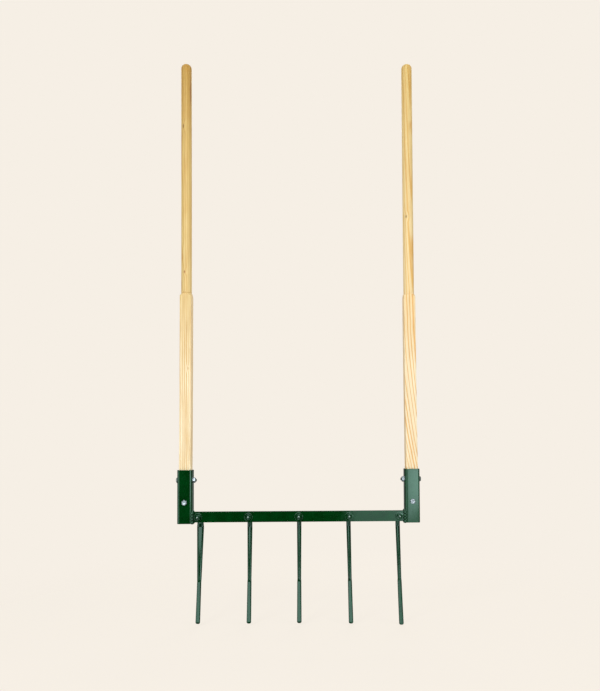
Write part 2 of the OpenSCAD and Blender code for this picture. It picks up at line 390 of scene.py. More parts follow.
@dataclass(frozen=True)
class OiledAsh:
    """Ash, sawn along the grain, turned and thinly oiled: pale wood with straight tan lines of late growth.

    The rings are drawn in the solid, so the faces show lines and the top shows arcs, as cut wood does. Sizes are in
    millimetres, and those of a pattern are across and along the stick.
    """

    side: Side
    pale: tuple[tuple[float, str], ...]
    tan: tuple[tuple[float, str], ...]
    ring_spacing: float
    pith: tuple[float, float]
    slant: tuple[float, float]
    marks: tuple[Mark, ...]
    bow: tuple[float, float] = (0.0, 0.0)
    cloudy: float = 0.4
    wander: float = 12.8
    wander_size: tuple[float, float] = (71.43, 416.7)
    cloud_size: tuple[float, float] = (16.67, 111.1)
    # Fibres and open pores are near 0.3 mm in ash; drawn wider so that they show.
    fibre_size: tuple[float, float] = (1.282, 76.92)
    fibre_depth: float = 0.15
    end_grain: str = "#b58a4e"

    def build(self) -> Material:
        """Builds the wood.

        Returns:
            The handle's material.
        """
        low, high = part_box(self.side.node("handle"))
        axis = (low + high) / 2
        material, put, shader = new_material(f"ash_{self.side.name.lower()}")
        place = put("TexCoord").outputs
        local = put("Mapping", {"Vector": place["Object"], "Location": (-axis.x, -axis.y, 0)})
        height = put("SeparateXYZ", place["Object"]).outputs["Z"]
        sizes = (self.wander_size, self.cloud_size)
        slow, broad = (put("Mapping", {"Vector": local, "Scale": grain_scale(*size)}) for size in sizes)
        drift, cloud = (put("TexNoise", {"Vector": spot, "Scale": 1.0, "Detail": 2.0}) for spot in (slow, broad))

        # Growth wanders, slants across the stick, and low in it bows aside. The rings are counted from the pith.
        centred = put("VectorMath:SUBTRACT", drift.outputs["Color"], (0.5, 0.5, 0.5))
        moved = put("VectorMath:SCALE", centred, {"Scale": self.wander * MM})
        bent = put("VectorMath:ADD", local, moved)
        part = put("SeparateXYZ", bent).outputs
        x, y = (put("Math:MULTIPLY_ADD", height, slant, part[way]) for way, slant in zip("XY", self.slant))
        under = put("MapRange", height, self.bow[1], 0.0, 0.0, self.bow[1])
        square = put("Math:MULTIPLY", under, under)
        flat = put("CombineXYZ", put("Math:MULTIPLY_ADD", square, -self.bow[0], x), y)
        from_pith = put("VectorMath:DISTANCE", flat, (self.pith[0] * MM, self.pith[1] * MM, 0))
        years = put("Math:MULTIPLY", from_pith, 1 / (self.ring_spacing * MM))
        # Good and poor years make them uneven.
        uneven = put("TexNoise", {"W": years, "Scale": 0.8, "Detail": 1.0}, noise_dimensions="1D")
        count = put("Math:MULTIPLY_ADD", uneven, 0.9, years)
        # A knot stains the wood and pushes the rings round it aside. The line of painted shade at the shoulder is laid
        # the same way.
        stains_and_shade = []
        for mark in self.marks:
            middle = (axis.x + mark.across * MM, axis.y + mark.front * MM, mark.height * MM)
            off = put("VectorMath:SUBTRACT", place["Object"], middle)
            reach = put("VectorMath:LENGTH", put("VectorMath:MULTIPLY", off, grain_scale(mark.width, mark.length)))
            stains_and_shade.append((put("MapRange", reach, 1.0, 0.25, 0.0, mark.strength, **SMOOTH), mark.colour))
            halo = put("MapRange", reach, 3.0, 0.6, **SMOOTH)
            count = put("Math:MULTIPLY_ADD", halo, 0.6 * mark.strength, count)
        # Within a year the early wood is pale and the late wood tan.
        greys = ("#404040", "#000000", "#181818", "#ffffff", "#e0e0e0", "#404040")
        season = tuple(zip((0.0, 0.12, 0.5, 0.8, 0.94, 1.0), greys))
        late = put("ValToRGB", put("Math:FRACT", count), stops=season)

        fine = put("Mapping", {"Vector": bent, "Scale": grain_scale(*self.fibre_size)})
        fibre = put("TexNoise", {"Vector": fine, "Scale": 1.0, "Detail": 3.0, "Roughness": 0.6})
        rise = put("MapRange", height, low.z, high.z)
        pale, tan = (put("ValToRGB", rise, stops=stops) for stops in (self.pale, self.tan))
        colour = put("Mix", {0: late, 6: pale, 7: tan}, **BLEND)
        streak = put("ValToRGB", fibre, stops=((0.28, "#dfc9a0"), (0.5, "#ffffff"), (0.75, "#fff9ec")))
        patch = put("ValToRGB", cloud, stops=((0.3, "#ecd6ac"), (0.6, "#ffffff")))
        for strength, tint in ((0.55, streak), (self.cloudy, patch)):
            colour = put("Mix", {0: strength, 6: colour, 7: tint}, **TINT)
        # End grain drinks the oil and goes a shade darker.
        up = put("SeparateXYZ", place["Normal"]).outputs["Z"]
        stains_and_shade.append((put("MapRange", up, 0.55, 0.95, 0.0, 0.45, **SMOOTH), self.end_grain))
        for near, stain in stains_and_shade:
            colour = put("Mix", {0: near, 6: colour, 7: linear(stain)}, **BLEND)

        rough = put("MapRange", fibre, 0.3, 0.7, 0.62, 0.5)
        relief = put("Mix", {0: 0.35, 2: fibre, 3: late})
        bump = put("Bump", {"Strength": 0.35, "Distance": self.fibre_depth * MM, "Height": relief})
        plug(shader, {"Base Color": colour, "Roughness": rough, "Specular IOR Level": 0.35, "Normal": bump})
        return material


@dataclass(frozen=True)
class Grain:
    """A noise by the size of its patches in millimetres, its detail, and the part of its range that is used."""

    size: float
    detail: float
    low: float = 0.35
    high: float = 0.7


@dataclass(frozen=True)
class SteelCoat:
    """A thin coat on steel, uneven in colour, in gloss and in level, each with its own grain.

    relief is the strength of the level and its depth in millimetres. bare is where the steel starts to show through
    and where it is all that shows, front to back.
    """

    name: str
    colours: tuple[str, str]
    gloss: tuple[float, float]
    film: Grain
    smear: Grain
    peel: Grain
    relief: tuple[float, float]
    metallic: float = 0.0
    sheen: str = "#ffffff"
    steel: str = "#8f9692"
    bare: tuple[float, float] | None = None

    def build(self) -> Material:
        """Builds the coat.

        Returns:
            The coated steel's material.
        """
        material, put, shader = new_material(self.name)
        place = put("TexCoord").outputs["Object"]
        film, smear, peel = (
            put("TexNoise", {"Vector": place, "Scale": 1 / (grain.size * MM), "Detail": grain.detail})
            for grain in (self.film, self.smear, self.peel)
        )
        spread = put("MapRange", film, self.film.low, self.film.high)
        rough = put("MapRange", smear, self.smear.low, self.smear.high, *self.gloss)
        bump = put("Bump", {"Strength": self.relief[0], "Distance": self.relief[1] * MM, "Height": peel})
        colour = put("Mix", {0: spread, 6: linear(self.colours[0]), 7: linear(self.colours[1])}, **BLEND)
        metallic = self.metallic
        if self.bare:
            metallic = put("MapRange", put("SeparateXYZ", place).outputs["Y"], *self.bare)
            colour = put("Mix", {0: metallic, 6: colour, 7: linear(self.steel)}, **BLEND)
        plug(shader, {"Base Color": colour, "Roughness": rough, "Normal": bump})
        plug(shader, {"Metallic": metallic, "Specular Tint": linear(self.sheen)})
        return material


@dataclass(frozen=True)
class GreenEnamel(SteelCoat):
    """Stoved alkyd enamel over steel: a deep, even green with a hard gloss and a faint orange peel.

    The film is darker where it is thicker, and rubbing dulls it in smears.
    """

    film: Grain = Grain(25, 3.0)
    smear: Grain = Grain(6, 4.0)
    # Orange peel is near 1 mm across; drawn wider so that it shows.
    peel: Grain = Grain(2.4, 1.0)
    relief: tuple[float, float] = (0.07, 0.2)
    sheen: str = "#d0fbf0"


@dataclass(frozen=True)
class ZincPlate(SteelCoat):
    """Bright zinc plate on steel fasteners: a cool silver, softly clouded by its passivation."""

    gloss: tuple[float, float] = (0.32, 0.46)
    film: Grain = Grain(3, 3.0, 0.35, 0.68)
    smear: Grain = Grain(0.8, 2.0, 0.3, 0.7)
    peel: Grain = Grain(0.8, 2.0)
    relief: tuple[float, float] = (0.08, 0.1)
    metallic: float = 0.72


@dataclass(frozen=True)
class BoltPattern:
    """The two bolts that hold a handle in its socket: one left to right, and below it one front to back."""

    hole: float = 4.2 * MM
    side: float = 86 * MM
    front: float = 26 * MM

    def drill(self, piece: Object, middle: Vector, run: float) -> None:
        """Drills a piece for both bolts, by a run either side of its middle line."""
        lines = ((self.side, Vector((run, 0, 0))), (self.front, Vector((0, run, 0))))
        drill(piece, [(Vector((middle.x, middle.y, height)), reach) for height, reach in lines], self.hole)


@dataclass
class Handle:
    """One handle: square stock, turned round above a cone-shaped shoulder, with a rounded top.

    It leans by the little that the play in its socket allows, and bows by a hair above the socket, as seasoned wood
    does. Its shoulder may be turned a little higher than drawn.
    """

    side: Side
    material: Material
    lean: float = 0.0
    bow: float = 0.0
    higher: float = 0.0
    stock: float = 31.75 * MM
    arris: float = 1.5 * MM
    foot: float = 1.2 * MM
    grip_radius: float = 14.5 * MM
    end_radius: float = 12 * MM
    shoulder_low: float = 586 * MM
    shoulder_high: float = 595 * MM
    pivot: float = 40 * MM
    socket_top: float = 114 * MM
    ring_gap: float = 40 * MM
    fine_gap: float = 0.4 * MM
    bolts: BoltPattern = BoltPattern()

    def square_radius(self, turn: np.ndarray) -> np.ndarray:
        """Returns the stock's radius at each turn round its middle line."""
        half, inner = self.stock / 2, self.stock / 2 - self.arris
        fold = np.abs((turn + QUARTER / 2) % QUARTER - QUARTER / 2)
        gap = inner * (np.cos(fold) - np.sin(fold))
        arc = inner * (np.cos(fold) + np.sin(fold)) + np.sqrt(np.maximum(self.arris**2 - gap**2, 0))
        return np.where(half * np.tan(fold) <= inner, half / np.cos(fold), arc)

    def turned_radius(self, height: float, top: float) -> float:
        """Returns the radius that the lathe leaves at a height."""
        share = (height - self.higher - self.shoulder_low) / (self.shoulder_high - self.shoulder_low)
        if share < 0:
            return self.stock
        if share < 1:
            return self.stock / math.sqrt(2) * (1 - share) + self.grip_radius * share
        dome = max(height - (top - self.end_radius), 0.0)
        return self.grip_radius - self.end_radius + math.sqrt(max(self.end_radius**2 - dome**2, 0.0))

    def build(self) -> None:
        """Builds the handle and hands it over."""
        low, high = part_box(self.side.node("handle"))
        middle = (low + high) / 2
        bend = math.atan2(self.stock / 2 - self.arris, self.stock / 2)
        quarter = np.concatenate([np.linspace(-bend, bend, 13), np.linspace(bend, QUARTER - bend, 9)[1:-1]])
        turns = np.concatenate([quarter + q * QUARTER for q in range(4)])
        # Rings stand close round the shoulder and the dome, and far apart where the stick is straight.
        heights = np.concatenate([
            [low.z, low.z + self.foot],
            np.arange(20 * MM, self.shoulder_low - 2 * MM, self.ring_gap),
            self.higher + np.arange(self.shoulder_low - MM, self.shoulder_high + 0.7 * MM, self.fine_gap),
            np.arange(self.shoulder_high + 25 * MM, high.z - 30 * MM, self.ring_gap),
            high.z - self.end_radius + self.end_radius * np.sin(QUARTER * np.linspace(0, 1, 12)),
        ])
        square = self.square_radius(turns)
        rings = []
        for height in heights:
            radius = np.minimum(square, self.turned_radius(float(height), high.z))
            if height == low.z:
                radius = radius - self.foot
            # The bow is deepest a little below the middle of the free length.
            free = max(height - self.socket_top, 0.0) / (high.z - self.socket_top)
            bowed = self.bow * math.sin(math.pi * free**0.75)
            x = middle.x + math.tan(self.lean) * (height - self.pivot) + bowed
            rings.append(level_ring(turns, radius, x, middle.y, height))
        piece = skin(self.side.node("ash_handle"), rings)
        self.bolts.drill(piece, middle, self.stock)
        dress(soften(piece, 24), self.material)
        hand_over(piece, [self.side.node("handle")])


@dataclass
class Socket:
    """One socket: a length of square tube with softly broken rims, drilled both ways for its bolts."""

    side: Side
    material: Material
    corner: float = 6 * MM
    bore: float = 32.15 * MM
    bore_corner: float = 1.7 * MM
    rim: float = 0.7 * MM
    margin: float = 10 * MM
    steps: tuple[int, int] = (10, 8)
    bolts: BoltPattern = BoltPattern()

    def build(self) -> None:
        """Builds the tube and hands it over."""
        low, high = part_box(self.side.node("socket"))
        middle, width = (low + high) / 2, high.x - low.x
        outside, worn, inside = (
            rounded_outline(size, size, corner, *self.steps)
            for size, corner in (
                (width, self.corner), (width - 2 * self.rim, self.corner - self.rim), (self.bore, self.bore_corner),
            )
        )
        turns = QUARTER * np.linspace(0, 1, 5)
        rims = [(worn + (outside - worn) * math.sin(t), self.rim * (1 - math.cos(t))) for t in turns]
        rings = [(outline, low.z + inset) for outline, inset in rims]
        rings += [(outside, z) for z in np.linspace(low.z + self.margin, high.z - self.margin, 14)]
        rings += [(outline, high.z - inset) for outline, inset in reversed(rims)]
        rings += [(inside, high.z), (inside, low.z)]
        points = [np.column_stack([ring + (middle.x, middle.y), np.full(len(ring), z)]) for ring, z in rings]
        piece = skin(self.side.node("socket_tube"), points, Ends.JOINED)
        self.bolts.drill(piece, middle, width)
        dress(soften(piece, 30), self.material)
        hand_over(piece, [self.side.node("socket")])


@dataclass
class FootBar:
    """The flat bar between the sockets, with rolled edges, weld ramps at its ends and a hole for each tine.

    Mill scale and enamel make it stand a little taller than its nominal stock.
    """

    material: Material
    tine_places: Sequence[float]
    proud: float = 0.9 * MM
    arris: float = 0.5 * MM
    ramp: float = 4 * MM
    ramp_depth: float = 1.2 * MM
    margin: float = 20 * MM
    tine_hole: float = 4.95 * MM

    def build(self) -> None:
        """Builds the bar and hands it over."""
        low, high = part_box("crossbar")
        thick, tall, middle = high.y - low.y, high.z - low.z, (low + high) / 2
        inner = np.linspace(low.x + self.margin, high.x - self.margin, 28)
        rings = []
        for x in (low.x, low.x + self.ramp, *inner, high.x - self.ramp, high.x):
            drop = self.ramp_depth if x in (low.x, high.x) else 0.0
            outline = rounded_outline(thick, tall + self.proud - 2 * drop, self.arris, 5, 4)
            outline = outline + (middle.y, middle.z + self.proud / 2)
            rings.append(np.column_stack([np.full(len(outline), x), outline]))
        piece = skin("foot_bar", rings)
        through = Vector((0, thick, 0))
        drill(piece, [(Vector((x, middle.y, middle.z)), through) for x in self.tine_places], self.tine_hole)
        dress(soften(piece, 30), self.material)
        hand_over(piece, ["crossbar"])


@dataclass
class WeldBead:
    """A bead of weld metal run round one end of the bar, with the ripples of its puddle.

    stand is how far its middle line stands off the bar: in from its end, and out from its faces and its edges.
    """

    side: Side
    material: Material
    radius: float = 5.1 * MM
    stand: tuple[float, float, float] = (0.2 * MM, 3.0 * MM, 0.4 * MM)
    pitch: float = 7.8 * MM
    ripple: float = 0.5
    lump: float = 1.4 * MM
    lump_size: float = 5 * MM
    corner: float = 1.2 * MM
    step: float = 0.35 * MM

    def tree(self) -> NodeTree:
        """Builds the rule of the bead: a rounded loop whose girth steps at each ripple.

        Returns:
            A tree with the bar's and the bead's sizes as inputs.
        """
        labels = ("Bar height", "Bar thickness", "Bead radius", "Ripple pitch", "Ripple depth", "Lump")
        sockets = {**{label: "Float" for label in labels}, "Place": "Vector", "Material": "Material"}
        tree, put, size = new_geometry_tree("weld_bead_rule", sockets)
        sides = {"Width": size["Bar thickness"], "Height": size["Bar height"]}
        loop = put("GeometryNodeCurvePrimitiveQuadrilateral", sides)
        eased = put("GeometryNodeFilletCurve", {"Curve": loop, "Count": 6, "Radius": self.corner}, mode="POLY")
        even = put("GeometryNodeResampleCurve", {"Curve": eased, "Length": self.step}, mode="LENGTH")
        upright = {"Translation": size["Place"], "Rotation": (QUARTER, 0, QUARTER)}
        stood = put("GeometryNodeTransform", {"Geometry": even, **upright})

        # Each ripple is a hump, whose girth falls off with the square of the way from its middle.
        run = put("GeometryNodeSplineParameter").outputs["Length"]
        share = put("Math:FRACT", put("Math:DIVIDE", run, size["Ripple pitch"]))
        off = put("Math:MULTIPLY_ADD", share, 2.0, -1.0)
        fall = put("Math:MULTIPLY", put("Math:MULTIPLY", off, off), size["Ripple depth"])
        girth = put("Math:MULTIPLY", put("Math:SUBTRACT", 1.0, fall), size["Bead radius"])
        circle = put("GeometryNodeCurvePrimitiveCircle", {"Resolution": 20, "Radius": 1.0})
        tube = put("GeometryNodeCurveToMesh", {"Curve": stood, "Profile Curve": circle, "Scale": girth})

        noise = put("TexNoise", {"Scale": 1 / self.lump_size, "Detail": 2.0}).outputs["Color"]
        centred = put("VectorMath:SUBTRACT", noise, (0.5, 0.5, 0.5))
        shift = put("VectorMath:SCALE", centred, {"Scale": size["Lump"]})
        close_tree(put, put("GeometryNodeSetPosition", {"Geometry": tube, "Offset": shift}), size["Material"])
        return tree

    def build(self) -> None:
        """Builds the bead and hands it over."""
        low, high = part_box("crossbar")
        end = (low.x + self.stand[0]) if self.side is Side.LEFT else (high.x - self.stand[0])
        piece = place_object(self.side.node("weld_bead"), bpy.data.meshes.new("weld"))
        grow(piece, self.tree(), {
            "Bar height": high.z - low.z + 2 * self.stand[2],
            "Bar thickness": high.y - low.y + 2 * self.stand[1],
            "Bead radius": self.radius,
            "Ripple pitch": self.pitch,
            "Ripple depth": self.ripple,
            "Lump": self.lump,
            "Place": (end, (low.y + high.y) / 2, (low.z + high.z) / 2),
            "Material": self.material,
        })
        tidy_faces(piece)
        hand_over(soften(piece, 50), [self.side.node("weld")])


@dataclass(frozen=True)
class Arc:
    """A length of a tine that leans further forward as it goes down, from its start to its end height."""

    y: float
    z: float
    lean: float
    end_z: float
    end_lean: float

    def at(self, z: float) -> tuple[float, float]:
        """Returns the arc's place front to back and its lean at a height."""
        radius = (self.z - self.end_z) / (math.sin(self.end_lean) - math.sin(self.lean))
        lean = math.asin(math.sin(self.lean) + (self.z - z) / radius)
        return self.y - radius * (math.cos(self.lean) - math.cos(lean)), lean


@dataclass
class Tine:
    """One tine: a threaded end, a bend behind the bar, a long forward sweep and a blade forged flat below the knee.

    x is its place along the bar, swell what its shank has too much in half width, and turn how far it is turned in its
    hole.
    """

    number: int
    x: float
    material: Material
    swell: float = 0.0
    turn: float = 0.0
    reach: float = 272 * MM
    shank: float = 6.2 * MM
    shoulder: float = 0.5 * MM
    knee: float = 5.15 * MM
    knee_drop: float = 158 * MM
    knee_length: float = 7 * MM
    knee_swell: float = 0.25
    root_half: tuple[float, float] = (5.6 * MM, 4.0 * MM)
    tip_half: tuple[float, float] = (6.15 * MM, 2.5 * MM)
    edge: float = 2.2 * MM
    worn_edge: float = 1.6
    tip_radius: float = 4.4 * MM
    bend_run: float = 9 * MM
    bend_radius: float = 28 * MM
    shank_lean: float = math.radians(8)
    knee_lean: float = math.radians(9)
    blade_lean: float = math.radians(11.5)
    tip_lean: float = math.radians(14.5)
    stud: float = 4.75 * MM
    stud_length: float = 12.6 * MM
    pitch: float = 1.59 * MM
    thread_depth: float = 0.8 * MM
    crown: float = 7.5 * MM
    around: int = 48

    def sweep(self) -> list[tuple[float, ...]]:
        """Follows the rod from the back of the bar to its tip.

        Returns:
            Stations of y, z, heading, half width, half depth and corner radius.
        """
        bar_low, bar_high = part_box("crossbar")
        shank, knee, edge, swell = self.shank, self.knee, self.edge, self.swell
        axis_z, back, slim = (bar_low.z + bar_high.z) / 2, bar_high.y, shank - self.shoulder
        bend_y, bend_turn = back + self.bend_run, QUARTER + self.shank_lean
        stations: list[tuple[float, ...]] = [(back, axis_z, 0.0, slim, slim, slim)]
        for y in (back + self.shoulder, *np.linspace(back, bend_y, 5)[1:-1]):
            stations.append((y, axis_z, 0.0, shank, shank, shank))
        for turn in np.linspace(0, bend_turn, 30):
            y = bend_y + self.bend_radius * math.sin(turn)
            z = axis_z - self.bend_radius * (1 - math.cos(turn))
            stations.append((y, z, turn, shank + swell * turn / bend_turn, shank, shank))

        start_y, start_z = stations[-1][:2]
        knee_z, tip_z = bar_low.z - self.knee_drop, bar_low.z - self.reach
        blade_z, blunt_z = knee_z - self.knee_length, tip_z + self.tip_radius * math.cos(self.tip_lean)
        upper = Arc(start_y, start_z, self.shank_lean, knee_z, self.knee_lean)
        lower = Arc(upper.at(knee_z)[0], knee_z, self.blade_lean, tip_z, self.tip_lean)
        rows = []
        for share in np.linspace(0, 1, 46)[1:]:
            radius = shank + (knee - shank) * share
            width = radius + swell * (1 - (1 - self.knee_swell) * share)
            rows.append((upper, start_z + (knee_z - start_z) * share, width, radius, radius))
        for share in np.linspace(0, 1, 9)[1:]:
            ease = share * share * (3 - 2 * share)
            width, depth = (knee + (half - knee) * ease for half in self.root_half)
            width += self.knee_swell * swell * (1 - ease)
            rows.append((lower, knee_z + (blade_z - knee_z) * share, width, depth, knee + (edge - knee) * ease))
        for share in np.linspace(0, 1, 34)[1:]:
            width, depth = (root + (tip - root) * share for root, tip in zip(self.root_half, self.tip_half))
            rows.append((lower, blade_z + (blunt_z - blade_z) * share, width, depth, edge))
        for turn in QUARTER * np.linspace(0, 1, 9)[1:]:
            close, z = 1 - math.cos(turn), blunt_z + (tip_z - blunt_z) * math.sin(turn)
            width = self.tip_half[0] - self.tip_radius * close
            depth = self.tip_half[1] - (self.tip_half[1] - edge / 2) * close
            rows.append((lower, z, width, depth, min(edge * (1 - close / 2), width, depth)))
        for arc, z, *section in rows:
            y, lean = arc.at(z)
            stations.append((y, z, QUARTER + lean, *section))
        return stations

    def thread(self) -> list[np.ndarray]:
        """Cuts the threaded end, with a domed tip, and runs it plain through the bar.

        Returns:
            The stud's rings from its tip to the back of the bar.
        """
        bar_low, bar_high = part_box("crossbar")
        axis_z, turns = (bar_low.z + bar_high.z) / 2, even_turns(self.around)
        front, plain = bar_low.y - self.stud_length, bar_low.y - 0.5 * MM
        dome = front + self.crown * (1 - np.cos(np.linspace(0.04, 0.5, 8)))
        cut = np.arange(dome[-1] + 0.15 * MM, bar_low.y - MM, self.pitch / 8)
        rings = []
        for y in (*dome, *cut, plain, bar_high.y):
            radius = np.full(self.around, self.stud)
            if y < plain:
                radius = thread_radius(turns, y, self.stud, self.pitch, self.thread_depth)
                radius = np.minimum(radius, math.sqrt(self.crown**2 - max(self.crown - (y - front), 0.0) ** 2))
            rings.append(level_ring(turns, radius, self.x, axis_z, y)[:, [0, 2, 1]])
        return rings

    def build(self) -> None:
        """Builds the tine and hands it over."""
        corner, stations, rings = self.around // 4, self.sweep(), self.thread()
        quarter = QUARTER * (np.arange(corner) + 0.5) / corner
        for y, z, heading, width, depth, radius in stations:
            ring = []
            aside = self.x + math.tan(self.turn) * (stations[0][1] - z)
            for q, (sx, sy) in enumerate(((1, 1), (-1, 1), (-1, -1), (1, -1))):
                # The edges on the right are worn rounder.
                curve = min(radius * self.worn_edge, width, depth) if sx > 0 else radius
                across = aside + sx * (width - curve) + curve * np.cos(quarter + q * QUARTER)
                deep = sy * (depth - curve) + curve * np.sin(quarter + q * QUARTER)
                ring.append(np.column_stack([across, y + deep * math.sin(heading), z + deep * math.cos(heading)]))
            rings.append(np.concatenate(ring))
        piece = skin(f"tine_rod_{self.number}", rings)
        dress(soften(piece, 40), self.material)
        hand_over(piece, [f"tine_{self.number}"])


@dataclass(frozen=True)
class HexShape:
    """The hexagon that nuts and bolt heads share."""

    flats: float
    height: float
    face_share: float = 0.95
    chamfer: float = math.radians(30)
    around: int = 96

    def ring(self, radius: np.ndarray | float, height: np.ndarray | float) -> np.ndarray:
        """Returns one ring of points at a radius and a height."""
        return level_ring(even_turns(self.around), radius, z=height)

    def body(self, both: bool) -> list[np.ndarray]:
        """Rings the hexagon, with the cone of its chamfer cutting its corners.

        Args:
            both: Whether its lower end is chamfered as well.

        Returns:
            The rings from the lower face's edge to the upper face's edge.
        """
        fold = (even_turns(self.around) + math.pi / 6) % (math.pi / 3) - math.pi / 6
        outer, face = self.flats / 2 / np.cos(fold), self.flats * self.face_share / 2
        drop = np.maximum(outer - face, 0) * math.tan(self.chamfer)
        low, high = (drop if both else np.zeros(self.around)), self.height - drop
        sides = [self.ring(outer, low + (high - low) * share) for share in np.linspace(0, 1, 6)]
        return [self.ring(face, 0.0), *sides, self.ring(face, self.height)]


@dataclass
class Fasteners:
    """Repeated nuts, washers and bolts, set on their seats by one Geometry Nodes rule.

    green is the frame's enamel, which also covers the tine nuts and washers. The side bolts' heads wear a darker copy
    of the zinc, which is painted shade.
    """

    green: Material
    zinc: Material
    shaded_zinc: Material
    tine_places: Sequence[float]
    tine_nut: HexShape = HexShape(14.3 * MM, 8.2 * MM, 0.84, math.radians(35))
    bolt_head: HexShape = HexShape(12.6 * MM, 5.3 * MM, 0.86, math.radians(38))
    bolt_nut: HexShape = HexShape(13 * MM, 6.8 * MM)
    nut_play: float = 0.05 * MM
    nut_sink: float = 0.7 * MM
    stud: float = 4.75 * MM
    washer_radius: float = 11.5 * MM
    washer_thick: float = 2 * MM
    washer_play: float = 0.2 * MM
    washer_roll: float = 0.4 * MM
    washer_slope: tuple[float, float] = (1.0 * MM, 0.25 * MM)
    bolt_radius: float = 4 * MM
    bolt_length: float = 50 * MM
    bolt_pitch: float = 1.25 * MM
    bolt_thread: float = 0.62 * MM
    bolt_plain: float = 26 * MM
    bolt_point: float = 0.9 * MM
    point_slope: float = 1.1
    dish: float = 3.5 * MM
    dish_flat: float = 0.4 * MM
    dish_depth: float = 0.8 * MM
    bolts: BoltPattern = BoltPattern()

    def nut(self, shape: HexShape, thread: float) -> Object:
        """Returns a hex nut for a thread's radius that stands on Z = 0, with a countersunk bore."""
        bore, sink = thread + self.nut_play, self.nut_sink
        rings = [shape.ring(bore + sink, 0.0), *shape.body(True), shape.ring(bore + sink, shape.height)]
        rings += [shape.ring(bore, shape.height - sink), shape.ring(bore, sink)]
        return soften(skin("nut", rings, Ends.JOINED), 25)

    def washer(self) -> Object:
        """Returns a washer that stands on Z = 0, with a sloped rim and its punched edge rolled over."""
        shape = HexShape(self.washer_radius, self.washer_thick)
        outer, thick, roll, (slope, fall) = self.washer_radius, self.washer_thick, self.washer_roll, self.washer_slope
        hole = self.stud + self.washer_play
        sizes = [(hole, 0.0), (outer, 0.0)]
        for turn in QUARTER * np.linspace(0, 0.75, 4):
            sizes.append((outer - roll * (1 - math.cos(turn)), thick - fall - roll * (1 - math.sin(turn))))
        sizes += [(outer - slope, thick), (hole, thick)]
        return soften(skin("washer", [shape.ring(*size) for size in sizes], Ends.JOINED), 35)

    def bolt(self) -> Object:
        """Returns a hex bolt with its head below Z = 0, a shallow bowl forged in its face and a rolled thread."""
        head, radius, point = self.bolt_head, self.bolt_radius, self.bolt_radius - self.bolt_point
        rings = [head.ring(self.dish_flat, -head.height + self.dish_depth)]
        for share in np.linspace(0.3, 1, 6):
            rings.append(head.ring(self.dish * share, -head.height + self.dish_depth * (1 - share**2)))
        rings += [ring * np.array([1, 1, -1]) for ring in reversed(head.body(False))]
        rings += [head.ring(radius, 0.0), head.ring(radius, self.bolt_plain)]
        turns = even_turns(head.around)
        for z in np.arange(self.bolt_plain + 0.5 * MM, self.bolt_length - 0.2 * MM, self.bolt_pitch / 6):
            cut = thread_radius(turns, z, radius, self.bolt_pitch, self.bolt_thread)
            rings.append(head.ring(np.minimum(cut, point + (self.bolt_length - z) * self.point_slope), z))
        rings.append(head.ring(point, self.bolt_length))
        return soften(skin("bolt", rings), 25)

    def tree(self) -> NodeTree:
        """Builds the rule that sets one fastener on each seat, turned as a spanner happened to leave it.

        Returns:
            A tree that takes seats with an aim, the fastener, its spin and its finish.
        """
        sockets = {"Seats": "Geometry", "Fastener": "Object", "Spin": "Float", "Seed": "Int", "Material": "Material"}
        tree, put, given = new_geometry_tree("fastener_rule", sockets)
        shape = put("GeometryNodeObjectInfo", {"Object": given["Fastener"]}).outputs["Geometry"]
        aim = put("GeometryNodeInputNamedAttribute", {"Name": "aim"}, data_type="FLOAT_VECTOR")
        facing = put("FunctionNodeEulerToRotation", {0: aim})
        limits = {2: 0.0, 3: given["Spin"], "Seed": given["Seed"]}
        angle = put("FunctionNodeRandomValue", limits, data_type="FLOAT")
        spin = put("FunctionNodeAxisAngleToRotation", {"Axis": (0, 0, 1), "Angle": angle})
        turned = put("FunctionNodeRotateRotation", {0: facing, 1: spin}, rotation_space="LOCAL")
        laid = {"Points": given["Seats"], "Instance": shape, "Rotation": turned}
        close_tree(put, put("GeometryNodeInstanceOnPoints", laid), given["Material"])
        return tree

    def set_on(self, name: str, source: Object, seats: Sequence[Seat], seed: int, material: Material) -> Object:
        """Sets a fastener on every seat.

        Args:
            name: The set's name.
            source: One fastener, pointing up Z. It is removed.
            seats: Place and direction of each.
            seed: Seed of the spins.
            material: The fasteners' finish.

        Returns:
            The set, as one piece.
        """
        mesh = bpy.data.meshes.new(name)
        mesh.from_pydata([tuple(place) for place, _ in seats], [], [])
        aims = mesh.attributes.new("aim", "FLOAT_VECTOR", "POINT")
        for i, (_, direction) in enumerate(seats):
            aims.data[i].vector = direction.to_track_quat("Z", "Y").to_euler()
        piece = place_object(name, mesh)
        grow(piece, self.tree(), {"Fastener": source, "Spin": math.pi / 3, "Seed": seed, "Material": material})
        bpy.data.objects.remove(source)
        return piece

    def build(self) -> None:
        """Builds all the fasteners and hands them over."""
        low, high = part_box("crossbar")
        axis_z, forward, back = (low.z + high.z) / 2, Vector((0, -1, 0)), Vector((0, 1, 0))
        washers = [(Vector((x, low.y, axis_z)), forward) for x in self.tine_places]
        nuts = [(Vector((x, low.y - self.washer_thick, axis_z)), forward) for x in self.tine_places]
        numbers = range(1, len(self.tine_places) + 1)
        piece = self.set_on("tine_washers", self.washer(), washers, 1, self.green)
        hand_over(piece, [f"tine_washer_{i}" for i in numbers])
        piece = self.set_on("tine_nuts", self.nut(self.tine_nut, self.stud), nuts, 4, self.green)
        hand_over(piece, [f"tine_nut_{i}" for i in numbers])

